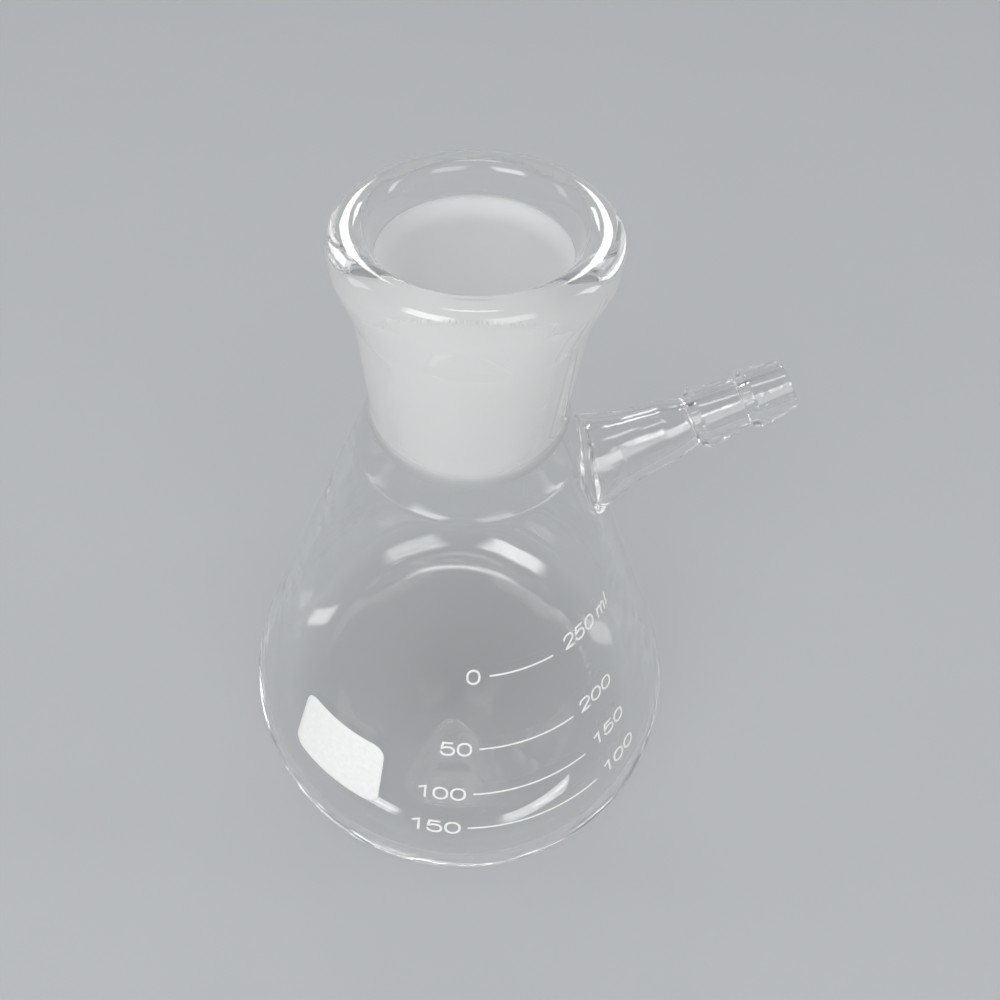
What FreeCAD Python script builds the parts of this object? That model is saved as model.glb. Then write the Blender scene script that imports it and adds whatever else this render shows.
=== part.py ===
import FreeCAD, Part
import math
import os

# A 250 ml filter flask of blown borosilicate glass, in millimetres.
# The origin is the centre of the circle that the flask stands on, +Z is up along
# the flask's axis, and the side arm leaves the cone over the +X axis.

Vector = FreeCAD.Vector

# Body, outside
body_radius = 43.5          # widest radius, low on the cone
base_round = 16.6           # radius of the round corner between base and cone
stand_inner_radius = 21.0   # the flat ring that the flask stands on starts here
push_up = 0.8               # how far the base's centre is blown up off the bench

# Glass thickness
wall = 2.0                  # cone
floor = 2.2                 # base

# Neck and its bead, outside
neck_length = 29.0          # from the cone up to the rim
neck_low_radius = 14.1      # where the neck leaves the cone
neck_high_radius = 15.4     # just under the bead
neck_root_round = 6.3       # hollow curve between cone and neck
rim_height = 125.0          # overall height
bead_radius = 17.6
bead_depth = 4.4            # the bead keeps its full radius down to this far below the rim
bead_flare = 6.9            # height over which the neck opens out to the bead
bead_start_round = 3.0
bead_shoulder_round = 3.0
rim_outer_round = 2.3
rim_inner_round = 2.0

# Ground socket: a 1 in 10 taper, 24 mm wide at its top and 29 mm long
socket_top_radius = 12.0
socket_length = 29.0
socket_taper = 1 / 20       # change of radius per length
socket_setback = 4.0        # from the rim down to the wide end of the ground zone
mouth_radius = 13.2         # the clear lip flares from the socket to this
lip_round = 1.5
socket_foot_round = 1.2     # rounded lower edge of the ground zone
throat_drop = 5.0           # from the ground zone down to the inside of the cone
throat_round = 4.0

# Side arm: places are distances along its own axis, from the flask's axis
arm_drop = 26.7             # from the foot of the neck down to where the two axes meet
arm_rise = 24.4             # degrees above level
arm_weld = 29.1             # where the drawn tube is fused to the cone's stub
arm_weld_radius = 5.65
arm_weld_sweep = 26.0       # long curve from the stub into the tube, outside
arm_stub_flare = 20.0       # degrees by which the stub opens towards the cone
arm_shoulder_radius = 5.1   # where the tube starts to narrow
arm_draw_in = 3.4           # length over which it narrows to its waist
arm_waist_radius = 3.95
arm_waist_length = 0.8      # from there to the step up to the first barb
arm_tip = 54.3
arm_tip_radius = 3.95
barb_shoulders = (40.5, 48.4)
barb_radii = (5.15, 4.9)
barb_neck = 1.1             # length of the step up to each barb
barb_neck_radius = 3.8      # narrow end of the first barb
barb_round = 0.8
tip_round = 0.5
weld_round = 2.4            # fused glass between cone and arm, outside
tube_wall = 1.4             # glass of the drawn tube where it starts to narrow
arm_seam = 27.6             # ring inside the arm where tube and stub were fused
arm_seam_radius = 4.75
arm_seam_round = 0.8
arm_bore_radius = 2.6       # through the barbs
bore_root_round = 1.2

EPS = 1e-3


def point(radius, height):
    """A point of an outline in the XZ plane."""
    return Vector(radius, 0, height)


def rounded_face(corners):
    """A flat face from (radius, height, round) corners, each round made as an arc that touches both sides."""
    count = len(corners)
    places = [point(radius, height) for radius, height, _ in corners]
    ends = []
    for index, (_, _, rounding) in enumerate(corners):
        corner = places[index]
        if rounding == 0:
            ends.append((corner, None, corner))
            continue
        back = (places[index - 1] - corner).normalize()
        ahead = (places[(index + 1) % count] - corner).normalize()
        half = back.getAngle(ahead) / 2
        reach = rounding / math.tan(half)
        middle = (back + ahead).normalize()
        nearest = corner + middle * (rounding / math.sin(half) - rounding)
        ends.append((corner + back * reach, nearest, corner + ahead * reach))
    edges = []
    for index, (start, nearest, end) in enumerate(ends):
        if nearest is not None:
            edges.append(Part.Arc(start, nearest, end).toShape())
        following = ends[(index + 1) % count][0]
        if end.distanceToPoint(following) > EPS:
            edges.append(Part.LineSegment(end, following).toShape())
    return Part.Face(Part.Wire(edges))


def turned(corners):
    """The solid that an outline gives when it is turned about the Z axis."""
    return rounded_face(corners).revolve(Vector(0, 0, 0), Vector(0, 0, 1), 360)


def along_arm(solid):
    """Lay a solid that was turned about Z along the side arm's axis."""
    laid = solid.copy()
    laid.rotate(Vector(0, 0, 0), Vector(0, 1, 0), 90 - arm_rise)
    laid.translate(Vector(0, 0, arm_height))
    return laid


# The cone's side passes through the neck's foot and touches the round base corner
neck_root = rim_height - neck_length
corner_middle = body_radius - base_round
across = corner_middle - neck_low_radius
along = neck_root - base_round
cone_half_angle = math.atan2(across, along) + math.asin(base_round / math.hypot(across, along))
slope = math.tan(cone_half_angle)
lean = math.cos(cone_half_angle)
cone_foot_radius = neck_low_radius + neck_root * slope   # where the side would reach the bench

arm_height = neck_root - arm_drop
waist_end = barb_shoulders[0] - barb_neck
arm_waist = waist_end - arm_waist_length
arm_shoulder = arm_waist - arm_draw_in
bead_height = rim_height - bead_depth
bead_start = bead_height - bead_flare
socket_top = rim_height - socket_setback
socket_foot = socket_top - socket_length
socket_foot_radius = socket_top_radius - socket_length * socket_taper


def inner_cone_radius(height):
    """Radius of the inside of the cone's wall at a height."""
    return cone_foot_radius - height * slope - wall / lean


def outer_body():
    """The flask without its hollow or its arm."""
    corners = [
        (0, push_up, 0),
        (stand_inner_radius, 0, 0),
        (cone_foot_radius, 0, base_round),
        (neck_low_radius, neck_root, neck_root_round),
        (neck_high_radius, bead_start, bead_start_round),
        (bead_radius, bead_height, bead_shoulder_round),
        (bead_radius, rim_height, rim_outer_round),
        (0, rim_height, 0),
    ]
    return turned(corners)


def hollow():
    """The inside of the flask, from the base up through the ground socket and out of the mouth."""
    throat = socket_foot - throat_drop
    above = rim_height + rim_inner_round
    corners = [
        (0, floor + push_up, 0),
        (stand_inner_radius, floor, 0),
        (inner_cone_radius(floor), floor, base_round - wall),
        (inner_cone_radius(throat), throat, throat_round),
        (socket_foot_radius, socket_foot, socket_foot_round),
        (socket_top_radius, socket_top, lip_round),
        (mouth_radius, rim_height, rim_inner_round),
        (bead_radius, rim_height, 0),
        (bead_radius, above, 0),
        (0, above, 0),
    ]
    return turned(corners)


def flared(radius, place, at):
    """Radius of the stub at a place along the arm, where it is known at another place further out."""
    return radius + (place - at) * math.tan(math.radians(arm_stub_flare))


def arm_outside():
    """The side arm as a solid rod: flared stub, drawn tube, waist and two barbs that taper to the tip."""
    first, second = barb_shoulders
    first_radius, second_radius = barb_radii
    inside_cone = inner_cone_radius(arm_height) / 2
    corners = [
        (0, inside_cone, 0),
        (flared(arm_weld_radius, arm_weld, inside_cone), inside_cone, 0),
        (arm_weld_radius, arm_weld, arm_weld_sweep),
        (arm_shoulder_radius, arm_shoulder, weld_round),
        (arm_waist_radius, arm_waist, barb_round),
        (arm_waist_radius, waist_end, barb_round),
        (first_radius, first, barb_round),
        (barb_neck_radius, second - barb_neck, barb_round),
        (second_radius, second, barb_round),
        (arm_tip_radius, arm_tip, tip_round),
        (0, arm_tip, 0),
    ]
    return along_arm(turned(corners))


def arm_hollow():
    """The bore of the side arm, which follows the stub and the tube and is even through the barbs."""
    inside_cone = inner_cone_radius(arm_height) / 2
    corners = [
        (0, inside_cone, 0),
        (flared(arm_seam_radius, arm_seam, inside_cone), inside_cone, 0),
        (arm_seam_radius, arm_seam, arm_seam_round),
        (arm_shoulder_radius - tube_wall, arm_shoulder, weld_round),
        (arm_bore_radius, arm_waist, weld_round),
        (arm_bore_radius, arm_tip + wall, 0),
        (0, arm_tip + wall, 0),
    ]
    return along_arm(turned(corners))


def shared_edges(solid, first, second):
    """The edges of a solid that lie on the skins of both of two other shapes."""
    found = []
    skins = [Part.Shell(first.Faces), Part.Shell(second.Faces)]
    for edge in solid.Edges:
        middle = Part.Vertex(edge.valueAt((edge.FirstParameter + edge.LastParameter) / 2))
        if all(middle.distToShape(skin)[0] < EPS for skin in skins):
            found.append(edge)
    return found


def flask():
    body = outer_body()
    arm = arm_outside()
    whole = body.fuse(arm)
    whole = whole.makeFillet(weld_round, shared_edges(whole, body, arm))
    inside = hollow()
    bore = arm_hollow()
    opened = whole.cut(inside)
    opened = opened.cut(bore)
    opened = opened.makeFillet(bore_root_round, shared_edges(opened, inside, bore))
    return opened


os.makedirs("parts", exist_ok=True)
piece = flask()
piece.exportStep("parts/flask.step")
print("cone leans by", round(math.degrees(cone_half_angle), 2), "degrees")
print("arm's axis meets the flask's axis at a height of", round(arm_height, 2))
print("flask: valid", piece.isValid(), "solids", len(piece.Solids), "faces", len(piece.Faces))
print("glass volume in ml", round(piece.Volume / 1000, 1))
print("box", piece.optimalBoundingBox())
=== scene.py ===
# %% [markdown]
# # A filter flask
# The object is a 250 ml filter flask: a cone of blown borosilicate glass with a ground
# socket in its neck and a barbed arm on its side for a vacuum hose. A white scale and a
# white patch to write on are printed on the front.
#
# The look of glass comes from its wall, so the wall is built as one closed surface with
# an outside and an inside, and light bends at both. The camera and the lamps come after
# the object's parts and finishes.
#
# First the measured solids are loaded.

# %% The measured solids
import math
import bmesh
import bpy
import numpy as np
from mathutils import Matrix, Vector


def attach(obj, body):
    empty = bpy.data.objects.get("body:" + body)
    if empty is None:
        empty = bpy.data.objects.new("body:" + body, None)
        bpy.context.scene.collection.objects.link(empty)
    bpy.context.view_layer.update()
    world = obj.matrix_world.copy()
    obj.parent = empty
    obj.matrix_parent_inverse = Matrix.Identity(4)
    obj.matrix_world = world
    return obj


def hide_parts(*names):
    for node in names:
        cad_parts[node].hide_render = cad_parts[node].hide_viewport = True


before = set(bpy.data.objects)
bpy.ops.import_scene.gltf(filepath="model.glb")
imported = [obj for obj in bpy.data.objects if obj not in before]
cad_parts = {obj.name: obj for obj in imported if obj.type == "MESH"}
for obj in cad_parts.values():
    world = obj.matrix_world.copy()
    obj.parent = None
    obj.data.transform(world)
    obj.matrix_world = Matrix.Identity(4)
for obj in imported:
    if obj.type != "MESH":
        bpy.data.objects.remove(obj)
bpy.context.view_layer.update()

# %% [markdown]
# ## Sizes
# The sizes repeat the ones that the solids were made from, in millimetres. The heights
# of the neck and its ground socket follow from them.

# %% Sizes of the flask, in millimetres
MM = 0.001                  # metres
BODY_RADIUS = 43.5          # widest, low on the cone
BASE_ROUND = 16.6           # round corner between base and cone
STAND_INNER_RADIUS = 21.0   # the flat ring that the flask stands on starts here
STAND_ROUND = 4.0           # eases the ring into the push-up inside it
PUSH_UP = 0.8               # how far the base's centre is blown up off the bench
WALL = 2.0                  # glass of the cone
FLOOR = 2.2                 # glass of the base
RIM_HEIGHT = 125.0
NECK_LENGTH = 29.0
NECK_LOW_RADIUS = 14.1
NECK_HIGH_RADIUS = 15.4
NECK_ROOT_ROUND = 6.3       # hollow curve between cone and neck
BEAD_RADIUS = 17.6
BEAD_DEPTH = 4.4            # the bead keeps its full radius down to this far below the rim
BEAD_FLARE = 6.9            # height over which the neck opens out to the bead
BEAD_ROUND = 3.0
RIM_OUTER_ROUND = 2.3
RIM_INNER_ROUND = 2.0
MOUTH_RADIUS = 13.2         # the clear lip flares from the socket to this
LIP_ROUND = 1.5
SOCKET_TOP_RADIUS = 12.0
SOCKET_LENGTH = 29.0
SOCKET_TAPER = 1 / 20       # change of radius per length
SOCKET_SETBACK = 4.0        # from the rim down to the wide end of the ground zone
SOCKET_FOOT_ROUND = 1.2
THROAT_DROP = 5.0           # from the ground zone down to the inside of the cone
THROAT_ROUND = 4.0

NECK_ROOT = RIM_HEIGHT - NECK_LENGTH
BEAD_FOOT = RIM_HEIGHT - BEAD_DEPTH
SOCKET_TOP = RIM_HEIGHT - SOCKET_SETBACK
SOCKET_FOOT = SOCKET_TOP - SOCKET_LENGTH
SOCKET_FOOT_RADIUS = SOCKET_TOP_RADIUS - SOCKET_LENGTH * SOCKET_TAPER
THROAT = SOCKET_FOOT - THROAT_DROP
print("neck starts at", NECK_ROOT, "and its ground zone runs from", SOCKET_FOOT, "to", SOCKET_TOP)

# %% [markdown]
# ## The cone
# The cone's side has to pass through the foot of the neck and touch the round corner of
# the base. Seen from the middle of that corner's circle, the foot of the neck lies
# atan(across / up) off the vertical, and the side leans further, by asin(round / distance).
# With the lean known, so is the radius at each height.

# %% The cone's lean
corner_across = BODY_RADIUS - BASE_ROUND - NECK_LOW_RADIUS
corner_up = NECK_ROOT - BASE_ROUND
corner_distance = math.hypot(corner_across, corner_up)
CONE_LEAN = math.atan2(corner_across, corner_up) + math.asin(BASE_ROUND / corner_distance)
CONE_FOOT_RADIUS = NECK_LOW_RADIUS + NECK_ROOT * math.tan(CONE_LEAN)   # where its side meets the bench
LEVEL_WALL = WALL / math.cos(CONE_LEAN)                                # its wall, measured level


def cone_radius(height, inset=0.0):
    """Radius of the cone at a height: its foot's radius less height times the lean's tangent."""
    return CONE_FOOT_RADIUS - inset - height * math.tan(CONE_LEAN)


print("cone leans", round(math.degrees(CONE_LEAN), 2), "degrees; foot radius", round(CONE_FOOT_RADIUS, 2))

# %% [markdown]
# ## The wall's outline
# A blown flask is round about its axis, so half of a cut through its wall says almost
# everything: out along the base, up the cone and the neck, over the fire-polished bead,
# down the ground socket and back to the middle of the floor. A curve with a bevel could
# be spun, but a list of corners, each with its own rounding, keeps every size readable
# and puts the most points where the glass bends.

# %% Straight stretches and arcs
TINY = 1e-6   # a length below this counts as none


def unit(vectors):
    """Each row divided by its own length."""
    return vectors / np.maximum(np.linalg.norm(vectors, axis=1), TINY)[:, None]


def straight(start, end, run):
    """Places on a line after its start: start + share x (end - start), at most a run apart."""
    steps = max(1, math.ceil(np.linalg.norm(end - start) / run))
    return start + (end - start) * np.linspace(0, 1, steps + 1)[1:, None]


def arc(start, end, centre, sweep, turn):
    """Places after the start up to the end of an arc: its first spoke, turned step by step."""
    spoke, last_spoke = start - centre, end - centre
    sign = np.sign(spoke[0] * last_spoke[1] - spoke[1] * last_spoke[0])
    steps = max(2, math.ceil(sweep / turn))
    turns = sign * sweep * np.linspace(0, 1, steps + 1)[1:]
    cos, sin = np.cos(turns), np.sin(turns)
    return centre + np.stack([spoke[0] * cos - spoke[1] * sin, spoke[0] * sin + spoke[1] * cos], 1)


# %% One helper for all outlines
def rounded_outline(corners, run=1.25, turn=math.radians(7)):
    """Points along straight sides joined by arcs.

    Each corner is (across, along, round). Its arc touches both sides: it starts
    round / tan(half the angle between the sides) before the corner and ends as far
    after it, about a centre that is round / sin(half) away on the halving line.
    """
    corners = np.array(corners, dtype=float)
    places, rounds = corners[:, :2], corners[1:-1, 2]
    middle = places[1:-1]
    back, ahead = unit(places[:-2] - middle), unit(places[2:] - middle)
    half = np.arccos(np.clip((back * ahead).sum(1), -1, 1)) / 2
    reach = (rounds / np.tan(half))[:, None]
    starts, ends = middle + back * reach, middle + ahead * reach
    centres = middle + unit(back + ahead) * (rounds / np.sin(half))[:, None]
    pieces, last = [places[:1]], places[0]
    for start, end, centre, sweep in zip(starts, ends, centres, math.pi - 2 * half):
        pieces.append(straight(last, start, run))
        if np.linalg.norm(end - start) > TINY:
            pieces.append(arc(start, end, centre, sweep, turn))
        last = end
    pieces.append(straight(last, places[-1], run))
    return np.vstack(pieces)


# %% The wall of the flask, from under the base round to the floor inside
wall_outline = rounded_outline([
    (0, PUSH_UP, 0),
    (STAND_INNER_RADIUS, 0, STAND_ROUND),
    (CONE_FOOT_RADIUS, 0, BASE_ROUND),
    (NECK_LOW_RADIUS, NECK_ROOT, NECK_ROOT_ROUND),
    (NECK_HIGH_RADIUS, BEAD_FOOT - BEAD_FLARE, BEAD_ROUND),
    (BEAD_RADIUS, BEAD_FOOT, BEAD_ROUND),
    (BEAD_RADIUS, RIM_HEIGHT, RIM_OUTER_ROUND),
    (MOUTH_RADIUS, RIM_HEIGHT, RIM_INNER_ROUND),
    (SOCKET_TOP_RADIUS, SOCKET_TOP, LIP_ROUND),
    (SOCKET_FOOT_RADIUS, SOCKET_FOOT, SOCKET_FOOT_ROUND),
    (cone_radius(THROAT, LEVEL_WALL), THROAT, THROAT_ROUND),
    (cone_radius(FLOOR, LEVEL_WALL), FLOOR, BASE_ROUND - WALL),
    (STAND_INNER_RADIUS, FLOOR, STAND_ROUND),
    (0, FLOOR + PUSH_UP, 0),
])
print("outline points:", len(wall_outline))

# %% [markdown]
# ## Turning the outline
# The outline is carried round the axis on an even grid, and its two ends close at the
# axis. Where the arm leaves, a window is left in the grid, outside and inside, so that
# the arm's skin can be sewn in with clean rings. A boolean would be quicker to write,
# but it leaves slivers there, and glass shows every one of them as a dark scratch.

# %% The grid
COLUMNS = 192
rings = wall_outline[1:-1]
azimuths = -math.pi + np.arange(COLUMNS) * 2 * math.pi / COLUMNS
body_points = np.stack([
    rings[:, :1] * np.cos(azimuths),
    rings[:, :1] * np.sin(azimuths),
    np.repeat(rings[:, 1:], COLUMNS, axis=1),
], axis=2)
grid = np.arange(len(rings) * COLUMNS).reshape(len(rings), COLUMNS)   # each point's number
beside = np.roll(grid, -1, axis=1)
cells = np.stack([grid[:-1], beside[:-1], beside[1:], grid[1:]], axis=2)
print("grid:", len(rings), "by", COLUMNS)

# %% The windows for the arm, outside and inside
WINDOW_COLUMNS, WINDOW_ROWS = 44, 22
WINDOW_FOOT_OUTSIDE, WINDOW_TOP_INSIDE = 65.6, 86.1
rim_row = int(np.argmax(rings[:, 1]))
foot_row = int(np.argmin(abs(rings[:rim_row, 1] - WINDOW_FOOT_OUTSIDE)))
top_row = rim_row + int(np.argmin(abs(rings[rim_row:, 1] - WINDOW_TOP_INSIDE)))
first_column = (COLUMNS - WINDOW_COLUMNS) // 2
window_rows = {   # each from its lowest row up
    "outside": np.arange(foot_row, foot_row + WINDOW_ROWS + 1),
    "inside": np.arange(top_row + WINDOW_ROWS, top_row - 1, -1),
}
kept = np.ones(cells.shape[:2], bool)
for rows in window_rows.values():
    kept[rows.min():rows.max(), first_column:first_column + WINDOW_COLUMNS] = False


def window_edge(rows):
    """Grid places round a window: right along its low row, up, left along its high row, and down."""
    columns = np.arange(first_column, first_column + WINDOW_COLUMNS + 1)
    return np.concatenate([
        grid[rows[0], columns[:-1]], grid[rows[:-1], columns[-1]],
        grid[rows[-1], columns[:0:-1]], grid[rows[:0:-1], columns[0]],
    ])


window_edges = {side: window_edge(rows) for side, rows in window_rows.items()}
for side, rows in window_rows.items():
    low, high = rings[rows[[0, -1]], 1]
    print("window", side, "from", round(low, 1), "to", round(high, 1), "points:", len(window_edges[side]))

# %% [markdown]
# ## The arm and its fused root
# On the real flask a stub is blown out of the hot cone, and a drawn tube with two barbs
# is fused to it. Its skin is one more outline, carried along the arm's own axis. Each line
# of the stub is followed to the place where it meets the cone, and a true arc that touches
# both is laid in the corner, as melted glass would lie.
#
# The arm's sizes repeat the solids' too. Places are distances along the arm's own axis,
# from the flask's axis.

# %% Sizes of the arm, in millimetres
ARM_DROP = 26.7             # from the foot of the neck down to where the two axes meet
ARM_RISE = math.radians(24.4)
ARM_STUB_FLARE = math.radians(20.0)   # how much the stub opens towards the cone
ARM_WELD = 29.1             # where the drawn tube is fused to the stub
ARM_WELD_RADIUS = 5.65
ARM_WELD_SWEEP = 26.0       # long curve from the stub into the tube
ARM_SHOULDER_RADIUS = 5.1   # where the tube starts to narrow
ARM_DRAW_IN = 3.4           # length over which it narrows to its waist
ARM_WAIST_RADIUS = 3.95
ARM_WAIST_LENGTH = 0.8
ARM_TIP = 54.3
ARM_TIP_RADIUS = 3.95
TIP_ROUND = 0.5
BARB_SHOULDERS = (40.5, 48.4)
BARB_RADII = (5.15, 4.9)
BARB_NECK = 1.1             # length of the step up to each barb
BARB_NECK_RADIUS = 3.8
BARB_ROUND = 0.8
TUBE_WALL = 1.4             # glass of the tube where it starts to narrow
ARM_SEAM = 27.6             # ring inside the arm where tube and stub were fused
ARM_SEAM_RADIUS = 4.75
ARM_SEAM_ROUND = 0.8
ARM_BORE_RADIUS = 2.6       # through the barbs
WELD_ROUND = 2.4            # fused glass between cone and arm, outside
BORE_ROOT_ROUND = 1.2       # and inside

WAIST_END = BARB_SHOULDERS[0] - BARB_NECK
ARM_WAIST = WAIST_END - ARM_WAIST_LENGTH
ARM_SHOULDER = ARM_WAIST - ARM_DRAW_IN
print("tube narrows from", round(ARM_SHOULDER, 2), "to", round(ARM_WAIST, 2), "along the arm")

# %% The arm's axis and its lines
arm_axis = np.array([math.cos(ARM_RISE), 0, math.sin(ARM_RISE)])
arm_up = np.array([-math.sin(ARM_RISE), 0, math.cos(ARM_RISE)])
arm_start = np.array([0, 0, NECK_ROOT - ARM_DROP])
flat_points = body_points.reshape(-1, 3)
outer_edge, inner_edge = flat_points[window_edges["outside"]], flat_points[window_edges["inside"]]


def bearing(places):
    """Angle of each place round the arm's axis from its upper side: atan(part along Y / upper part)."""
    away = places - arm_start
    return np.unwrap(np.arctan2(away[:, 1], away @ arm_up))


round_arm = (bearing(outer_edge) + bearing(inner_edge)) / 2
spokes = np.cos(round_arm)[:, None] * arm_up + np.sin(round_arm)[:, None] * np.array([0, 1, 0])


def on_arm(along, radius):
    """Places on the arm, one for each spoke: start + along x axis + radius x spoke."""
    along, radius = np.broadcast_to(along, len(spokes)), np.broadcast_to(radius, len(spokes))
    return arm_start + along[:, None] * arm_axis + radius[:, None] * spokes


def stub_radius(along):
    """Outside of the stub: the weld's radius plus the way back from it times the flare's tangent."""
    return ARM_WELD_RADIUS + (ARM_WELD - along) * math.tan(ARM_STUB_FLARE)


def stub_bore_radius(along):
    """Inside of the stub: the seam's radius plus the way back from it times the flare's tangent."""
    return ARM_SEAM_RADIUS + (ARM_SEAM - along) * math.tan(ARM_STUB_FLARE)


print("lines of the arm:", len(spokes))

# %% Where the arm's lines meet the cone
INSIDE_CONE = 8.0   # a place along the arm that is inside the cone on every line
HALVINGS = 50


def meeting_line(radius_at, inset):
    """How far along the arm each line meets the cone, by halving the stretch in which it does."""
    near, far = np.full(len(spokes), INSIDE_CONE), np.full(len(spokes), ARM_WELD)
    for _ in range(HALVINGS):
        along = (near + far) / 2
        places = on_arm(along, radius_at(along))
        outside = np.hypot(places[:, 0], places[:, 1]) > cone_radius(places[:, 2], inset)
        near, far = np.where(outside, near, along), np.where(outside, along, far)
    return along


def cone_normal(places):
    """The cone's normal at places on it: level part the lean's cosine, rising part its sine."""
    turn = np.arctan2(places[:, 1], places[:, 0])
    return np.stack([
        np.cos(turn) * math.cos(CONE_LEAN),
        np.sin(turn) * math.cos(CONE_LEAN),
        np.full(len(turn), math.sin(CONE_LEAN)),
    ], axis=1)


# %% The melted corner between arm and cone
def root_rings(radius_at, inset, rounding, count):
    """Rings from the arm down to the cone, round the corner where they meet.

    One leg goes out along the arm and one away over the cone, each rounding / tan(half the
    angle between them) long. The arc is the weighted blend of the ends of the legs and
    the corner, whose weight, sin(half), makes it a true circle's.
    """
    along = meeting_line(radius_at, inset)
    corner = on_arm(along, radius_at(along))
    outward = unit(on_arm(along + 1, radius_at(along + 1)) - corner)
    normal = cone_normal(corner)
    away = unit(spokes - (spokes * normal).sum(1)[:, None] * normal)
    half = np.arccos((outward * away).sum(1)) / 2
    leg = (rounding / np.tan(half))[:, None]
    top, foot = corner + leg * outward, corner + leg * away
    foot[:, :2] *= (cone_radius(foot[:, 2], inset) / np.hypot(foot[:, 0], foot[:, 1]))[:, None]
    share = np.linspace(0, 1, count)[:, None, None]
    weight = np.sin(half)[None, :, None]
    low, mid, high = (1 - share) ** 2, 2 * share * (1 - share) * weight, share ** 2
    return (low * top + mid * corner + high * foot) / (low + mid + high)


outer_root = root_rings(stub_radius, 0.0, WELD_ROUND, count=9)
inner_root = root_rings(stub_bore_radius, LEVEL_WALL, BORE_ROOT_ROUND, count=7)
for side, root in (("outside", outer_root), ("inside", inner_root)):
    furthest = ((root[0] - arm_start) @ arm_axis).max()
    print("root", side, "ends at", round(furthest, 2), "along the arm, top", root[..., 2].max().round(2))

# %% The skin of the arm: out over the barbs, round the tip and back down the bore
SKIN_START, BORE_END = 25.5, 26.4   # just past the outer root, and past the seam on the way back
arm_outline = rounded_outline([
    (stub_radius(SKIN_START), SKIN_START, 0),
    (ARM_WELD_RADIUS, ARM_WELD, ARM_WELD_SWEEP),
    (ARM_SHOULDER_RADIUS, ARM_SHOULDER, WELD_ROUND),
    (ARM_WAIST_RADIUS, ARM_WAIST, BARB_ROUND),
    (ARM_WAIST_RADIUS, WAIST_END, BARB_ROUND),
    (BARB_RADII[0], BARB_SHOULDERS[0], BARB_ROUND),
    (BARB_NECK_RADIUS, BARB_SHOULDERS[1] - BARB_NECK, BARB_ROUND),
    (BARB_RADII[1], BARB_SHOULDERS[1], BARB_ROUND),
    (ARM_TIP_RADIUS, ARM_TIP, TIP_ROUND),
    (ARM_BORE_RADIUS, ARM_TIP, TIP_ROUND),
    (ARM_BORE_RADIUS, ARM_WAIST, WELD_ROUND),
    (ARM_SHOULDER_RADIUS - TUBE_WALL, ARM_SHOULDER, WELD_ROUND),
    (ARM_SEAM_RADIUS, ARM_SEAM, ARM_SEAM_ROUND),
    (stub_bore_radius(BORE_END), BORE_END, 0),
], run=0.7, turn=math.radians(6))
arm_skin = np.array([on_arm(along, radius) for radius, along in arm_outline])
print("rings of the arm's skin:", len(arm_skin))


# %% All rings of the arm, from the window outside to the window inside
def between(first, last, count):
    """Rings between two rings, without the two: first x (1 - share) + last x share."""
    share = np.linspace(0, 1, count + 2)[1:-1, None, None]
    return first * (1 - share) + last * share


def over_cone(first, last, count, inset):
    """Rings between two rings on the cone, even in angle and height, so they lie on it too."""
    first_turn, last_turn = (np.arctan2(ring[:, 1], ring[:, 0])[:, None] for ring in (first, last))
    turn = between(first_turn, last_turn, count)
    height = between(first[:, 2:], last[:, 2:], count)
    radius = cone_radius(height, inset)
    return np.concatenate([radius * np.cos(turn), radius * np.sin(turn), height], axis=2)


arm_rings = np.concatenate([
    over_cone(outer_edge, outer_root[-1], count=5, inset=0.0),
    outer_root[::-1],
    between(outer_root[0], arm_skin[0], count=3),
    arm_skin,
    between(arm_skin[-1], inner_root[0], count=4),
    inner_root,
    over_cone(inner_root[-1], inner_edge, count=5, inset=LEVEL_WALL),
])
print("arm rings:", arm_rings.shape[0], "of", arm_rings.shape[1], "points")

# %% [markdown]
# ## Sewing the flask together
# The grid, the two poles and the arm's rings become one list of points and faces. The
# faces of the ground socket are marked here, because that zone has its own finish.

# %% Faces and pieces
def strip(first, second):
    """Faces between two rings of places that run side by side."""
    return np.stack([first, np.roll(first, -1), np.roll(second, -1), second], axis=1)


def fan(ring, centre):
    """Triangles from a ring to its centre."""
    return np.stack([ring, np.roll(ring, -1), np.full(len(ring), centre)], axis=1)


def make_piece(name, points, quads, triangles, marked=None):
    """A mesh in metres from points in millimetres, with unused points dropped and faces outwards.

    Quads that are marked take the second finish.
    """
    used, renumbered = np.unique(np.concatenate([quads.ravel(), triangles.ravel()]), return_inverse=True)
    quads = renumbered[:quads.size].reshape(-1, 4)
    triangles = renumbered[quads.size:].reshape(-1, 3)
    mesh = bpy.data.meshes.new(name)
    mesh.from_pydata((points[used] * MM).tolist(), [], quads.tolist() + triangles.tolist())
    if marked is not None:
        slots = np.concatenate([marked, np.zeros(len(triangles), bool)])
        mesh.polygons.foreach_set("material_index", slots.astype(np.int32))
    shell = bmesh.new()
    shell.from_mesh(mesh)
    bmesh.ops.recalc_face_normals(shell, faces=shell.faces)
    open_edges = sum(not edge.is_manifold for edge in shell.edges)
    volume = shell.calc_volume(signed=True) / (10 * MM) ** 3
    shell.to_mesh(mesh)
    shell.free()
    mesh.polygons.foreach_set("use_smooth", np.ones(len(mesh.polygons), bool))
    piece = bpy.data.objects.new(name, mesh)
    bpy.context.scene.collection.objects.link(piece)
    print(name, "has", len(mesh.polygons), "faces,", open_edges, "open edges,", round(volume, 2), "ml")
    return piece


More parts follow.
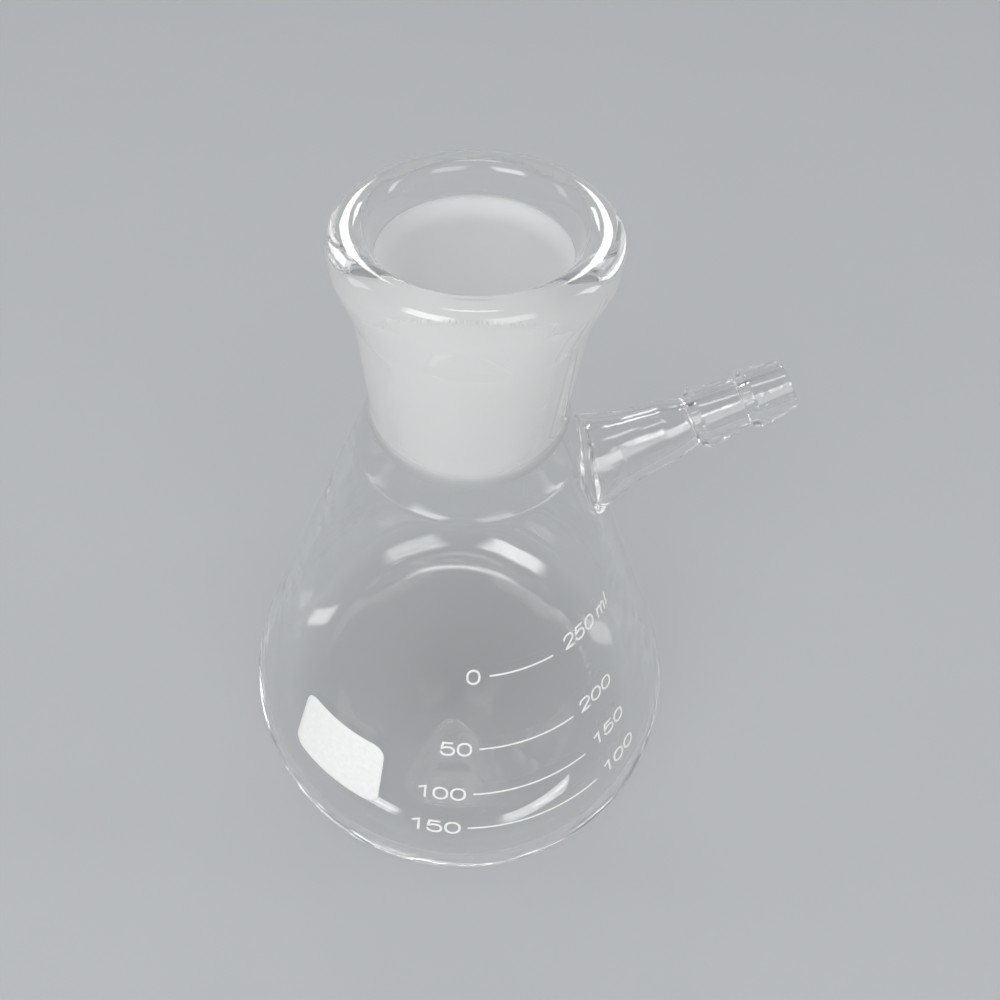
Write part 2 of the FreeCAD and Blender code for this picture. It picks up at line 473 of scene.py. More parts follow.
# %% One closed glass skin
pole = len(flat_points)   # number of the point under the base; the next is the one on the floor inside
poles = [[0, 0, wall_outline[0, 1]], [0, 0, wall_outline[-1, 1]]]
arm_places = pole + 2 + np.arange(arm_rings[..., 0].size).reshape(arm_rings.shape[:2])
loops = [window_edges["outside"], *arm_places, window_edges["inside"]]
skin_points = np.vstack([flat_points, poles, arm_rings.reshape(-1, 3)])
skin_quads = np.vstack([cells[kept]] + [strip(first, second) for first, second in zip(loops, loops[1:])])
skin_fans = np.vstack([fan(grid[0], pole), fan(grid[-1], pole + 1)])
print("points of the glass skin:", len(skin_points))

# %% The faces of the ground socket, and the piece
GROUND_BELOW, GROUND_ABOVE = 1.3, 0.3   # the finish starts and ends this far past the ground zone
GROUND_SLACK = 0.05                     # a marked face may lie this far outside the zone's top radius
middles = skin_points[skin_quads].mean(1)
off_axis, level = np.hypot(middles[:, 0], middles[:, 1]), middles[:, 2]
ground = (off_axis < SOCKET_TOP_RADIUS + GROUND_SLACK) & (
    level > SOCKET_FOOT - GROUND_BELOW) & (level < SOCKET_TOP + GROUND_ABOVE)
flask = make_piece("flask_glass", skin_points, skin_quads, skin_fans, ground)
print("ground faces:", int(ground.sum()))

# %% [markdown]
# ## Helpers for finishes
# Colours are written as hex values, the way a paint chart gives them, and one function
# turns them to the linear values that the shaders use. One function adds a node with
# its settings and its links.

# %% Colour and node helpers
def colour(hex_value):
    """sRGB hex to linear: c / 12.92 up to 0.04045, and ((c + 0.055) / 1.055) to the power 2.4 above."""
    parts = [int(hex_value[i:i + 2], 16) / 255 for i in (1, 3, 5)]
    return (*[c / 12.92 if c <= 0.04045 else ((c + 0.055) / 1.055) ** 2.4 for c in parts], 1.0)


def add_node(tree, kind, inputs=None, **settings):
    """A new node. Each input is a value, or the output of another node to link to."""
    node = tree.nodes.new(kind)
    for name, value in settings.items():
        setattr(node, name, value)
    for name, value in (inputs or {}).items():
        if isinstance(value, bpy.types.NodeSocket):
            tree.links.new(value, node.inputs[name])
        else:
            node.inputs[name].default_value = value
    return node


def new_material(name):
    """A material with an empty node tree and its output node."""
    material = bpy.data.materials.new(name)
    material.use_nodes = True
    material.node_tree.nodes.clear()
    return material, material.node_tree, add_node(material.node_tree, "ShaderNodeOutputMaterial")


# %% [markdown]
# ## Blown borosilicate glass
# Borosilicate is almost colourless and bends light a little less than window glass: its
# index is 1.473. Blowing and fire polishing leave it smooth as a mirror, but never quite
# even, so straight lines seen through it swim a little. Two soft noises make that: one for
# the hand-blown unevenness, about 11 mm from crest to crest, and one for the fine cords
# in the drawn glass, about 2 mm apart and drawn out along the flask's height.
#
# For lamps, and for light on its way from one dull surface to another, the glass is plain
# see-through, so its shadow stays as light as a real flask's. Each skin that a ray
# crosses takes a little.

# %% Finish: blown borosilicate
BOROSILICATE_IOR = 1.473
SWELL_WIDTH, SWELL_DEPTH = 11 * MM, 0.09 * MM
CORD_WIDTH, CORD_DEPTH = 2 * MM, 0.0012 * MM
CORD_STRETCH = 0.12         # less than 1, so the cords are longer up and down
BLOWN_LETS_THROUGH = 0.94   # share of the light that passes each skin, for shadows


def shadow_through(tree, shader, share):
    """For rays from lamps and between dull surfaces, plain see-through that passes a share of light."""
    path = add_node(tree, "ShaderNodeLightPath")
    straight_through = add_node(tree, "ShaderNodeMath", {
        0: path.outputs["Is Shadow Ray"], 1: path.outputs["Is Diffuse Ray"]}, operation="MAXIMUM")
    see = add_node(tree, "ShaderNodeBsdfTransparent", {"Color": (share, share, share, 1.0)})
    return add_node(tree, "ShaderNodeMixShader", {
        0: straight_through.outputs[0], 1: shader, 2: see.outputs[0]})


blown, tree, output = new_material("blown_borosilicate")
coords = add_node(tree, "ShaderNodeTexCoord")
swell = add_node(tree, "ShaderNodeTexNoise", {
    "Vector": coords.outputs["Object"], "Scale": 1 / SWELL_WIDTH, "Detail": 1.0, "Roughness": 0.4})
drawn = add_node(tree, "ShaderNodeMapping", {
    "Vector": coords.outputs["Object"], "Scale": (1.0, 1.0, CORD_STRETCH)})
cords = add_node(tree, "ShaderNodeTexNoise", {
    "Vector": drawn.outputs[0], "Scale": 1 / CORD_WIDTH, "Detail": 2.0, "Roughness": 0.5})
fine = add_node(tree, "ShaderNodeBump", {
    "Height": cords.outputs["Fac"], "Strength": 1.0, "Distance": CORD_DEPTH})
uneven = add_node(tree, "ShaderNodeBump", {
    "Height": swell.outputs["Fac"], "Strength": 1.0, "Distance": SWELL_DEPTH, "Normal": fine.outputs[0]})
glass = add_node(tree, "ShaderNodeBsdfPrincipled", {
    "Base Color": colour("#FCFCFC"), "Roughness": 0.0, "IOR": BOROSILICATE_IOR,
    "Transmission Weight": 1.0, "Normal": uneven.outputs[0]})
shade = shadow_through(tree, glass.outputs[0], BLOWN_LETS_THROUGH)
tree.links.new(shade.outputs[0], output.inputs["Surface"])
print("glass nodes:", len(tree.nodes))

# %% [markdown]
# ## Ground glass
# The socket is ground to its taper with wet grit on a turning tool. The grit leaves a
# skin of tiny pits that scatters light, so the zone looks white and soft, with faint
# rings round it from the turning. Real pits are about 0.06 mm wide and would not show,
# so they are drawn at 0.3 mm. The rings are drawn every 0.7 mm or so.
#
# Light that reaches the pits from inside the glass is mostly thrown back by their walls,
# so from there the zone looks more than half like a dull white surface. From the air side
# most of the light goes on into the glass, and the zone looks darker, apart from a band
# near its top edge that is made duller and so whiter: a painted highlight ring. At the top
# edge the frosting fades into the clear lip within about a millimetre. The grit also rounds
# over the lower edge, so the finish starts below it. Towards the foot its white is greyed
# into a painted shade, which offsets the lamp light that falls on the flared foot.

# %% Ground glass: pits, turned rings and where the frosting ends
PIT_WIDTH, PIT_DEPTH = 0.3 * MM, 0.012 * MM
RING_WIDTH, RING_DEPTH = 0.7 * MM, 0.01 * MM
RING_STRETCH = 0.06   # less than 1, so the noise is drawn out level, into rings
FOOT_SHADE_FULL, FOOT_SHADE_GONE = SOCKET_FOOT - 1.0, SOCKET_FOOT + 1.2           # painted shade: the frost is grey below these and white above
LIP_CLEAR, LIP_FROSTED = SOCKET_TOP + GROUND_ABOVE, SOCKET_TOP - 0.8   # and fades out between these
ground_glass, tree, output = new_material("ground_borosilicate")
coords = add_node(tree, "ShaderNodeTexCoord")
pits = add_node(tree, "ShaderNodeTexNoise", {
    "Vector": coords.outputs["Object"], "Scale": 1 / PIT_WIDTH, "Detail": 2.0, "Roughness": 0.6})
flattened = add_node(tree, "ShaderNodeMapping", {
    "Vector": coords.outputs["Object"], "Scale": (RING_STRETCH, RING_STRETCH, 1.0)})
turning = add_node(tree, "ShaderNodeTexNoise", {
    "Vector": flattened.outputs[0], "Scale": 1 / RING_WIDTH, "Detail": 3.0, "Roughness": 0.6})
grit = add_node(tree, "ShaderNodeBump", {
    "Height": pits.outputs["Fac"], "Strength": 1.0, "Distance": PIT_DEPTH})
ringed = add_node(tree, "ShaderNodeBump", {
    "Height": turning.outputs["Fac"], "Strength": 1.0, "Distance": RING_DEPTH, "Normal": grit.outputs[0]})
place = add_node(tree, "ShaderNodeSeparateXYZ", {"Vector": coords.outputs["Object"]})
# painted shade: 0 at the grey foot, 1 where the frost is white
foot = add_node(tree, "ShaderNodeMapRange", {
    "Value": place.outputs["Z"], "From Min": FOOT_SHADE_FULL * MM, "From Max": FOOT_SHADE_GONE * MM},
    interpolation_type="SMOOTHSTEP")
lip = add_node(tree, "ShaderNodeMapRange", {
    "Value": place.outputs["Z"], "From Min": LIP_CLEAR * MM, "From Max": LIP_FROSTED * MM},
    interpolation_type="SMOOTHSTEP")
print("frosting fades out from", LIP_FROSTED, "to", LIP_CLEAR, "mm")

# %% Finish: ground borosilicate
INSIDE_DULL, AIR_DULL = 0.6, 0.22                            # dull share from inside, and from the air
RING_HIGHLIGHT_FOOT, RING_HIGHLIGHT_TOP = SOCKET_TOP - 4.5, SOCKET_TOP - 1.5    # painted highlight ring: from the air it brightens between these
GROUND_LETS_THROUGH = 0.72                                   # for shadows
# painted shade: the frost's white is greyed towards the foot
frost_white_and_painted_shade = add_node(tree, "ShaderNodeMix", {
    "Factor": foot.outputs[0], "A": colour("#B4B5B6"), "B": colour("#F6F6F5")}, data_type="RGBA")
scatter = add_node(tree, "ShaderNodeMapRange", {
    "Value": turning.outputs["Fac"], "From Min": 0.3, "From Max": 0.7, "To Min": 0.55, "To Max": 0.7})
rough = add_node(tree, "ShaderNodeMath", {
    0: scatter.outputs[0], 1: lip.outputs[0]}, operation="MULTIPLY")
# painted highlight ring: from the air the zone is duller, so whiter, near its top
air_dull_and_painted_ring = add_node(tree, "ShaderNodeMapRange", {
    "Value": place.outputs["Z"], "From Min": RING_HIGHLIGHT_FOOT * MM, "From Max": RING_HIGHLIGHT_TOP * MM,
    "To Min": AIR_DULL, "To Max": INSIDE_DULL}, interpolation_type="SMOOTHSTEP")
inside_glass = add_node(tree, "ShaderNodeNewGeometry")
dull_here = add_node(tree, "ShaderNodeMix", {
    "Factor": inside_glass.outputs["Backfacing"], "A": air_dull_and_painted_ring.outputs[0], "B": INSIDE_DULL})
dull = add_node(tree, "ShaderNodeMath", {
    0: dull_here.outputs[0], 1: lip.outputs[0]}, operation="MULTIPLY")
clear = add_node(tree, "ShaderNodeMath", {0: 1.0, 1: dull.outputs[0]}, operation="SUBTRACT")
frost = add_node(tree, "ShaderNodeBsdfPrincipled", {
    "Base Color": frost_white_and_painted_shade.outputs["Result"], "Roughness": rough.outputs[0],
    "IOR": BOROSILICATE_IOR, "Transmission Weight": clear.outputs[0], "Normal": ringed.outputs[0]})
shade = shadow_through(tree, frost.outputs[0], GROUND_LETS_THROUGH)
tree.links.new(shade.outputs[0], output.inputs["Surface"])

flask.data.materials.append(blown)
flask.data.materials.append(ground_glass)
print("slots on the flask:", [material.name for material in flask.data.materials])

# %% [markdown]
# ## The print
# Scale, numbers and patch are white ceramic enamel, pushed through a screen and burnt
# in, so they stand about a tenth of a millimetre proud. Each shape is drawn flat first,
# x to the right and y up, and is then wrapped round the cone: x becomes an angle, y goes up
# the slant, and the thickness goes out along the cone's normal.
#
# The left numbers count what has run out of a full flask and the right ones what is in it,
# so both belong to the same four lines.

# %% Wrapping flat shapes onto the cone
PRINT_SUNK, PRINT_PROUD = 0.03, 0.07
PRINT_EDGE = 0.4 * PRINT_PROUD   # height of the ink where its top rounds over at the edge


def on_cone(flat, azimuth, height, stretch=1.0):
    """Flat (x, y, thickness) places wrapped on the cone about a place on it, in millimetres.

    The angle is azimuth + x * stretch / the cone's radius at that height, and the height
    rises by y times the lean's cosine. The thickness adds its cosine part to the radius
    and its sine part to the height.
    """
    cos, sin = math.cos(CONE_LEAN), math.sin(CONE_LEAN)
    turn = math.radians(azimuth) + flat[:, 0] * stretch / cone_radius(height)
    level = height + flat[:, 1] * cos
    radius = cone_radius(level) + flat[:, 2] * cos
    return np.stack([radius * np.cos(turn), radius * np.sin(turn), level + flat[:, 2] * sin], axis=1)


def arc_middle(start, end, height):
    """Middle azimuth of a print between two azimuths, and its width: the angle between x the radius."""
    return (start + end) / 2, math.radians(end - start) * cone_radius(height)


# %% A film of ink
FILM_EDGE = 0.04   # the film's rim is rounded over this much


def ink(outline, steps):
    """A closed film of ink inside a flat outline.

    Rings shrink from the outline to its middle: place = share x outline. The share goes
    0 to 1 on top, where the last step drops over the rounded rim, and 1 to 0 underneath.
    """
    share = np.linspace(0, 1, steps + 1)[1:]
    shares = np.concatenate([share[:-1], [1.0 - FILM_EDGE / np.abs(outline).max(), 1.0], share[-2::-1]])
    depth = np.concatenate([
        np.full(steps - 1, PRINT_PROUD), [PRINT_PROUD, PRINT_EDGE], np.full(steps - 1, -PRINT_SUNK)])
    flat = np.concatenate([
        shares[:, None, None] * outline[None],
        np.broadcast_to(depth[:, None, None], (len(shares), len(outline), 1)),
    ], axis=2)
    count = len(shares) * len(outline)
    places = np.arange(count).reshape(len(shares), len(outline))
    quads = np.vstack([strip(first, second) for first, second in zip(places, places[1:])])
    fans = np.vstack([fan(places[0], count), fan(places[-1], count + 1)])
    points = np.vstack([flat.reshape(-1, 3), [[0, 0, PRINT_PROUD], [0, 0, -PRINT_SUNK]]])
    return points, quads, fans


def rounded_rectangle(width, height, rounding, run):
    """Ring of points round a rectangle with round corners, about its middle."""
    w, h = width / 2, height / 2
    ring = rounded_outline([
        (0, -h, 0),
        (w, -h, rounding), (w, h, rounding), (-w, h, rounding), (-w, -h, rounding),
        (0, -h, 0),
    ], run=run, turn=math.radians(15))
    return ring[:-1]


# %% The patch to write on
PATCH_AZIMUTHS = (-149.7, -120.5)
PATCH_HEIGHTS = (29.4, 43.3)
PATCH_CORNER = 2.5
patch_height = sum(PATCH_HEIGHTS) / 2
patch_azimuth, patch_width = arc_middle(*PATCH_AZIMUTHS, patch_height)
patch_tall = (PATCH_HEIGHTS[1] - PATCH_HEIGHTS[0]) / math.cos(CONE_LEAN)
patch_ring = rounded_rectangle(patch_width, patch_tall, PATCH_CORNER, run=1.0)
points, quads, fans = ink(patch_ring, steps=12)
patch = make_piece("marking_patch", on_cone(points, patch_azimuth, patch_height), quads, fans)

# %% [markdown]
# ## Lines and numbers
# The lines and the numbers are strokes of one width, as a drawing pen makes them, so each
# is a ribbon of ink along a path. Blender's own font could be set on the cone too, but its
# figures are narrower than the broad ones on this flask, and its 1 has no flag. Six small
# figures are enough: 0, 1, 2, 5, m with its two arches, and l.

# %% Ribbons of ink
RIBBON_SIDES = np.array([-1, -1, -0.8, 0.8, 1, 1])   # six places round a cut, in half widths
RIBBON_DEPTHS = np.array([-PRINT_SUNK, PRINT_EDGE, PRINT_PROUD, PRINT_PROUD, PRINT_EDGE, -PRINT_SUNK])
SHARPEST = 0.7   # least 1 + n . m, which keeps the band from spreading in a very sharp bend


def ribbon(path, width, closed=False):
    """A closed band of ink along a flat path.

    At each point the band's sides lie half a width away along the joint of the two
    normals n and m of the sides that meet there: (n + m) / (1 + n . m), which keeps the
    width in a bend. Six places round the cut through the band give its thickness.
    """
    ahead = unit(np.roll(path, -1, axis=0) - path)
    behind = np.roll(ahead, 1, axis=0)
    if not closed:
        ahead[-1], behind[0] = ahead[-2], ahead[0]
    n, m = (np.stack([-side[:, 1], side[:, 0]], axis=1) for side in (ahead, behind))
    joint = (n + m) / np.maximum(1 + (n * m).sum(1), SHARPEST)[:, None]
    flat = np.empty((len(path), len(RIBBON_SIDES), 3))
    flat[..., :2] = path[:, None] + joint[:, None] * (RIBBON_SIDES * width / 2)[:, None]
    flat[..., 2] = RIBBON_DEPTHS
    places = np.arange(flat[..., 0].size).reshape(flat.shape[:2])
    following = np.roll(places, -1, axis=0) if closed else places[1:]
    quads = np.vstack([strip(first, second) for first, second in zip(places, following)])
    ends = np.array([[*path[0], 0], [*path[-1], 0]])
    fans = np.zeros((0, 3), int) if closed else np.vstack([
        fan(places[0], places.size), fan(places[-1], places.size + 1)])
    return np.vstack([flat.reshape(-1, 3), ends]), quads, fans


# %% The figures as pen strokes
STROKE, FIGURE_WIDE, FIGURE_TALL = 0.43, 2.75, 3.2
x, y = (FIGURE_WIDE - STROKE) / 2, (FIGURE_TALL - STROKE) / 2   # reach of the pen's middle
CURVE = x * 0.98        # the 0's corners, just short of its half width
END = FIGURE_TALL / 2   # where upright strokes end
FIGURES = {   # strokes with corners (across, up, round) about the figure's middle
    "0": [[(0, -y, 0), (x, -y, CURVE), (x, y, CURVE), (-x, y, CURVE), (-x, -y, CURVE), (0, -y, 0)]],
    "1": [[(-0.8, 0.72, 0), (0.4, y - 0.05, 0), (0.4, -END, 0)]],
    "2": [[(-x, 0.62, 0), (-x, y, 0.9), (x, y, 0.9), (x, 0.25, 0.8), (-x + 0.1, -y, 0), (x + 0.1, -y, 0)]],
    "5": [[(x - 0.15, y, 0), (-x + 0.35, y, 0), (-x + 0.05, 0.02, 0), (-0.35, 0.42, 0.6),
           (x, 0.42, 0.85), (x, -y, 0.9), (-x, -y, 0.85), (-x, -0.68, 0)]],
    "l": [[(0, END, 0), (0, -END, 0)]],
    "m": [[(-1.3, 0.75, 0), (-1.3, -END, 0)],
          [(-1.3, -0.1, 0), (-1.3, 0.55, 0.6), (0, 0.55, 0.6), (0, -END, 0)],
          [(0, -0.1, 0), (0, 0.55, 0.6), (1.3, 0.55, 0.6), (1.3, -END, 0)]],
}
ROOM = {"0": 3.05, "1": 3.05, "2": 3.05, "5": 3.05, " ": 1.1, "m": 3.5, "l": 1.0}   # width that each takes
print("pen strokes:", {figure: len(strokes) for figure, strokes in FIGURES.items()})


def written(text, from_left):
    """The pen strokes of a word with its left end, or its right end, at x = 0."""
    room = np.array([ROOM[figure] for figure in text])
    middles = np.cumsum(room) - room / 2 - (0 if from_left else room.sum())
    bands = []
    for figure, middle in zip(text, middles):
        for corners in FIGURES.get(figure, []):
            path = rounded_outline(corners, run=0.5, turn=math.radians(12))
            closed = figure == "0"
            bands.append(ribbon((path[:-1] if closed else path) + (middle, 0), STROKE, closed))
    return bands


# %% Lines and numbers in their places
LINE_WIDTH, LINE_POINTS = 0.36, 40
SCREEN_RADIUS, SCREEN_SPREAD = 37, 0.75   # where the cone is wider than this, figures come out broader
SCALE = [
    # the line's height and azimuths, the left number and where it ends,
    # the right number, where it starts and its own height
    (61.9, -90.2, -67.4, "0", -92.9, "250 ml", -62.9, 62.7),
    (46.9, -93.5, -63.7, "50", -95.4, "200", -61.2, 47.7),
    (36.6, -95.2, -61.8, "100", -96.9, "150", -59.2, 37.7),
    (28.3, -96.6, -59.5, "150", -98.1, "100", -57.6, 28.9),
]


def gather(name, bands):
    """One piece from many bands, whose numbering is moved up past that of the bands before."""
    offsets = np.cumsum([0] + [len(points) for points, _, _ in bands[:-1]])
    return make_piece(
        name,
        np.vstack([points for points, _, _ in bands]),
        np.vstack([quads + offset for (_, quads, _), offset in zip(bands, offsets)]),
        np.vstack([fans + offset for (_, _, fans), offset in zip(bands, offsets)]),
    )


line_bands, number_bands = [], []
for height, start, end, left, left_end, right, right_start, right_height in SCALE:
    azimuth, width = arc_middle(start, end, height)
    path = np.stack([np.linspace(-width / 2, width / 2, LINE_POINTS), np.zeros(LINE_POINTS)], axis=1)
    points, quads, fans = ribbon(path, LINE_WIDTH)
    line_bands.append((on_cone(points, azimuth, height), quads, fans))
    stretch = 1 + SCREEN_SPREAD * (cone_radius(height) / SCREEN_RADIUS - 1)
    for points, quads, fans in written(left, from_left=False):
        number_bands.append((on_cone(points, left_end, height, stretch), quads, fans))
    for points, quads, fans in written(right, from_left=True):
        number_bands.append((on_cone(points, right_start, right_height, stretch), quads, fans))
lines = gather("scale_lines", line_bands)
numbers = gather("scale_numbers", number_bands)

# %% [markdown]
# ## White enamel
# Ceramic ink is a white glass frit. Burnt in, it is satin, not quite even in thickness,
# and a little thinner in spots where the screen's mesh let less through. Spots of about
# 0.9 mm change its white by a shade, and a grain of 0.15 mm roughens it.

# %% Finish: burnt-in white enamel
SPOT_WIDTH = 0.9 * MM
GRAIN_WIDTH, GRAIN_DEPTH = 0.15 * MM, 0.02 * MM
enamel, tree, output = new_material("burnt_in_white_enamel")
coords = add_node(tree, "ShaderNodeTexCoord")
spots = add_node(tree, "ShaderNodeTexNoise", {
    "Vector": coords.outputs["Object"], "Scale": 1 / SPOT_WIDTH, "Detail": 3.0, "Roughness": 0.55})
ink_tone = add_node(tree, "ShaderNodeMix", {
    "Factor": spots.outputs["Fac"], "A": colour("#E4E5E3"), "B": colour("#F8F8F6")}, data_type="RGBA")
grain = add_node(tree, "ShaderNodeTexNoise", {
    "Vector": coords.outputs["Object"], "Scale": 1 / GRAIN_WIDTH, "Detail": 1.0, "Roughness": 0.5})
relief = add_node(tree, "ShaderNodeBump", {
    "Height": grain.outputs["Fac"], "Strength": 0.6, "Distance": GRAIN_DEPTH})
satin = add_node(tree, "ShaderNodeMapRange", {
    "Value": spots.outputs["Fac"], "To Min": 0.38, "To Max": 0.52})
white = add_node(tree, "ShaderNodeBsdfPrincipled", {
    "Base Color": ink_tone.outputs["Result"], "Roughness": satin.outputs[0], "IOR": 1.5,
    "Normal": relief.outputs[0]})
tree.links.new(white.outputs[0], output.inputs["Surface"])

for piece in (patch, lines, numbers):
    piece.data.materials.append(enamel)
    print(piece.name, "takes", enamel.name)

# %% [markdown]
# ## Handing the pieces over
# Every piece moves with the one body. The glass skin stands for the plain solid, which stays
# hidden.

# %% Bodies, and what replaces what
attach(flask, "root")
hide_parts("flask")
for piece in (patch, lines, numbers):
    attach(piece, "root")

# %% [markdown]
# ## Floor
# The flask stands on a plain pale sheet of paper, a hair below the glass. Far out it fades
# into air of its own pale grey, so no edge shows. Its fibres are a mottle of 60 mm, one
# shade lighter here and there, which is just enough to keep it from looking painted.

# %% The sheet and its paper
PALE = colour("#B6B8BA")
SHEET_RADIUS, SHEET_SIDES = 1.6, 96   # metres
FADE_START, FADE_END = 0.5, 1.5       # metres from the flask
SHEET_DROP = 0.1 * MM
FIBRE_WIDTH = 60 * MM
floor_mesh = bpy.data.meshes.new("floor")
turns = np.linspace(0, 2 * math.pi, SHEET_SIDES + 1)[:-1]
sheet_edge = np.stack([
    SHEET_RADIUS * np.cos(turns),
    SHEET_RADIUS * np.sin(turns),
    np.full(SHEET_SIDES, -SHEET_DROP),
], axis=1)
floor_mesh.from_pydata(sheet_edge.tolist(), [], [list(range(SHEET_SIDES))])
floor = bpy.data.objects.new("floor", floor_mesh)
bpy.context.scene.collection.objects.link(floor)

paper, tree, output = new_material("pale_paper")
coords = add_node(tree, "ShaderNodeTexCoord")
fibre = add_node(tree, "ShaderNodeTexNoise", {
    "Vector": coords.outputs["Object"], "Scale": 1 / FIBRE_WIDTH, "Detail": 3.0})
tint = add_node(tree, "ShaderNodeMix", {
    "Factor": fibre.outputs["Fac"], "A": PALE, "B": colour("#B8BABC")}, data_type="RGBA")
sheet = add_node(tree, "ShaderNodeBsdfDiffuse", {"Color": tint.outputs["Result"]})
reach = add_node(tree, "ShaderNodeVectorMath", {0: coords.outputs["Object"]}, operation="LENGTH")
fade = add_node(tree, "ShaderNodeMapRange", {
    "Value": reach.outputs["Value"], "From Min": FADE_START, "From Max": FADE_END},
    interpolation_type="SMOOTHSTEP")
nothing = add_node(tree, "ShaderNodeBsdfTransparent")
faded = add_node(tree, "ShaderNodeMixShader", {
    0: fade.outputs[0], 1: sheet.outputs[0], 2: nothing.outputs[0]})
tree.links.new(faded.outputs[0], output.inputs["Surface"])
floor_mesh.materials.append(paper)
print("floor sides:", len(floor_mesh.vertices), "radius in metres:", SHEET_RADIUS)

# %% [markdown]
# ## Lamps
# Glass is seen by what it mirrors and bends, so each of the large soft lamps has its task.
# A key and a weaker fill in front light the print and the ground neck. Two lamps low behind
# are mirrored in the rim's left and right, with a gap between them, because a lamp in the
# middle would be mirrored right behind the numbers. A small one overhead draws the thin
# arc at the back of the base, and a strip on each side lights the edges.
#
# A softbox is brightest in its middle and falls off towards its edge, so each lamp's light
# does too, and its mirror image on the glass has no hard corners.

# %% Lamps
CAMERA_AZIMUTH = -101.0
LAMP_DISTANCE = 2.0                # metres
FLASK_MIDDLE = Vector((0, 0, 0.07))
LAMPS = [
    # name, degrees round from the camera, degrees up, width, height, watts, soft share of each side
    ("key", -35, 38, 1.3, 1.3, 40.0, 0.25),
    ("fill", 32, 38, 1.3, 1.3, 22.0, 0.25),
    ("top", 180, 87, 0.8, 0.35, 6.0, 0.25),
    ("behind right", 164, 35, 0.5, 0.35, 6.5, 0.15),
    ("behind left", 196, 35, 0.5, 0.35, 6.5, 0.15),
    ("left", -95, 25, 0.5, 1.5, 7.0, 0.25),
    ("right", 95, 25, 0.38, 1.5, 10.5, 0.25),
]


def add_softness(tree, soft):
    """Brightness as the product of two smooth steps, one across and one up the lamp.

    Each goes from 0 at a side, half the lamp from its middle, to 1 a soft share inside it.
    """
    face = add_node(tree, "ShaderNodeNewGeometry")
    across = add_node(tree, "ShaderNodeSeparateXYZ", {0: face.outputs["Parametric"]})
    steps = []
    for side in "XY":
        off = add_node(tree, "ShaderNodeMath", {0: across.outputs[side], 1: 0.5}, operation="SUBTRACT")
        off = add_node(tree, "ShaderNodeMath", {0: off.outputs[0]}, operation="ABSOLUTE")
        steps.append(add_node(tree, "ShaderNodeMapRange", {
            "Value": off.outputs[0], "From Min": 0.5, "From Max": 0.5 - soft},
            interpolation_type="SMOOTHSTEP"))
    bright = add_node(tree, "ShaderNodeMath", {
        0: steps[0].outputs[0], 1: steps[1].outputs[0]}, operation="MULTIPLY")
    light = add_node(tree, "ShaderNodeEmission", {"Strength": bright.outputs[0]})
    add_node(tree, "ShaderNodeOutputLight", {"Surface": light.outputs[0]})


for name, azimuth, elevation, width, height, watts, soft in LAMPS:
    data = bpy.data.lights.new(name, "AREA")
    data.shape, data.size, data.size_y, data.energy = "RECTANGLE", width, height, watts
    data.use_nodes = True
    data.node_tree.nodes.clear()
    add_softness(data.node_tree, soft)
    lamp = bpy.data.objects.new(name, data)
    turn, rise = math.radians(CAMERA_AZIMUTH + azimuth), math.radians(elevation)
    way = Vector((math.cos(turn) * math.cos(rise), math.sin(turn) * math.cos(rise), math.sin(rise)))
    lamp.location = FLASK_MIDDLE + way * LAMP_DISTANCE
    lamp.rotation_euler = way.to_track_quat("Z", "Y").to_euler()
    bpy.context.scene.collection.objects.link(lamp)
    print("lamp", name, "at", [round(c, 2) for c in lamp.location])

# %% [markdown]
# ## Air
# The air is as pale as the floor near the ground and darker higher up, which gives the
# glass its dark edges. A ray can cross many skins of glass before it gets out, so it may
# bend and bounce far more often than usual. With 96 crossings the bead still has black marks.

# %% Air and light paths
world = bpy.data.worlds.new("studio_air")
world.use_nodes = True
tree = world.node_tree
tree.nodes.clear()
coords = add_node(tree, "ShaderNodeTexCoord")
upward = add_node(tree, "ShaderNodeSeparateXYZ", {"Vector": coords.outputs["Generated"]})
higher = add_node(tree, "ShaderNodeMapRange", {
    "Value": upward.outputs["Z"], "From Min": 0.02, "From Max": 0.55},
    interpolation_type="SMOOTHSTEP")
air = add_node(tree, "ShaderNodeMix", {
    "Factor": higher.outputs[0], "A": PALE, "B": colour("#6E7072")}, data_type="RGBA")
glow = add_node(tree, "ShaderNodeBackground", {"Color": air.outputs["Result"], "Strength": 1.0})
add_node(tree, "ShaderNodeOutputWorld", {"Surface": glow.outputs[0]})
bpy.context.scene.world = world
bpy.context.scene.view_settings.view_transform = "Standard"

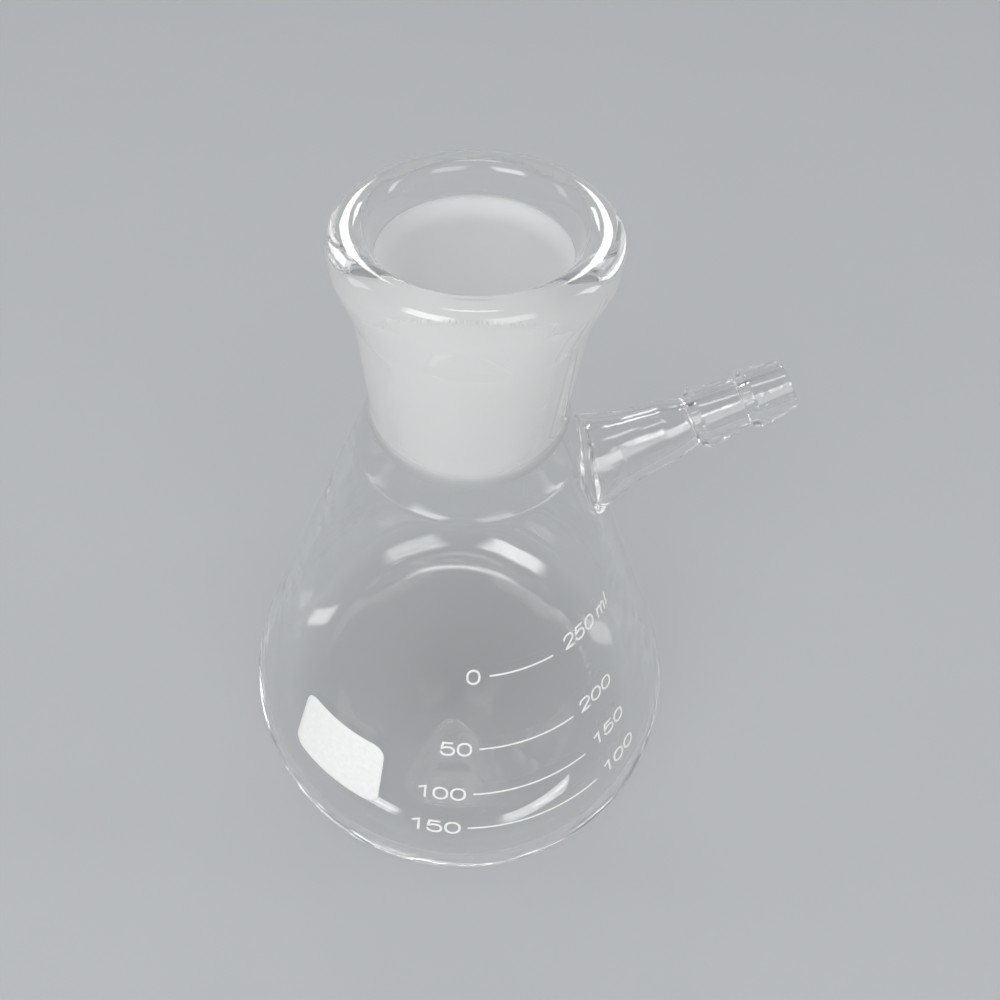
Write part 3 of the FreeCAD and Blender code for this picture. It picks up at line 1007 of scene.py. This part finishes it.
CROSSINGS, SEE_THROUGH = 120, 24
light_paths = bpy.context.scene.cycles
light_paths.max_bounces = CROSSINGS
light_paths.transmission_bounces = CROSSINGS
light_paths.glossy_bounces = CROSSINGS
light_paths.transparent_max_bounces = SEE_THROUGH
print("bounces:", light_paths.max_bounces, "see-through:", light_paths.transparent_max_bounces)

# %% [markdown]
# ## Camera
# The flask was seen from close by, in front and above, so its mouth looks larger than its
# base. The place is in millimetres, back from the flask's axis and up, and the picture's
# sizes are in pixels: how far the lens lies from the picture, and where its middle falls.

# %% Camera
EYE_BACK, EYE_HEIGHT = 78.96, 175.97
EYE_PITCH, EYE_YAW, EYE_ROLL = math.radians(49.77), math.radians(-4.54), math.radians(-1.1)
FOCAL, MIDDLE_X, MIDDLE_Y, PICTURE = 777.7, 425.71, 456.09, 1000
SENSOR = 36.0   # millimetres
forward = Vector((
    math.sin(EYE_YAW) * math.cos(EYE_PITCH),
    math.cos(EYE_YAW) * math.cos(EYE_PITCH),
    -math.sin(EYE_PITCH),
))
rightward = forward.cross(Vector((0, 0, 1))).normalized()
above = rightward.cross(forward)
level_right = rightward * math.cos(EYE_ROLL) + above * math.sin(EYE_ROLL)
level_up = -rightward * math.sin(EYE_ROLL) + above * math.cos(EYE_ROLL)
axes = Matrix((level_right, level_up, -forward)).transposed().to_4x4()
eye = Matrix.Translation(Vector((0, -EYE_BACK, EYE_HEIGHT)) * MM)
camera_data = bpy.data.cameras.new("camera")
camera_data.sensor_width = SENSOR
camera_data.lens = FOCAL / PICTURE * SENSOR
camera_data.shift_x = (PICTURE / 2 - MIDDLE_X) / PICTURE
camera_data.shift_y = (MIDDLE_Y - PICTURE / 2) / PICTURE
camera_data.clip_start = 0.01
camera = bpy.data.objects.new("camera", camera_data)
camera.matrix_world = Matrix.Rotation(math.radians(CAMERA_AZIMUTH + 90), 4, "Z") @ eye @ axes
bpy.context.scene.collection.objects.link(camera)
bpy.context.scene.camera = camera
eye_place = [round(c, 4) for c in camera.matrix_world.translation]
print("camera at", eye_place, "lens", round(camera_data.lens, 2))
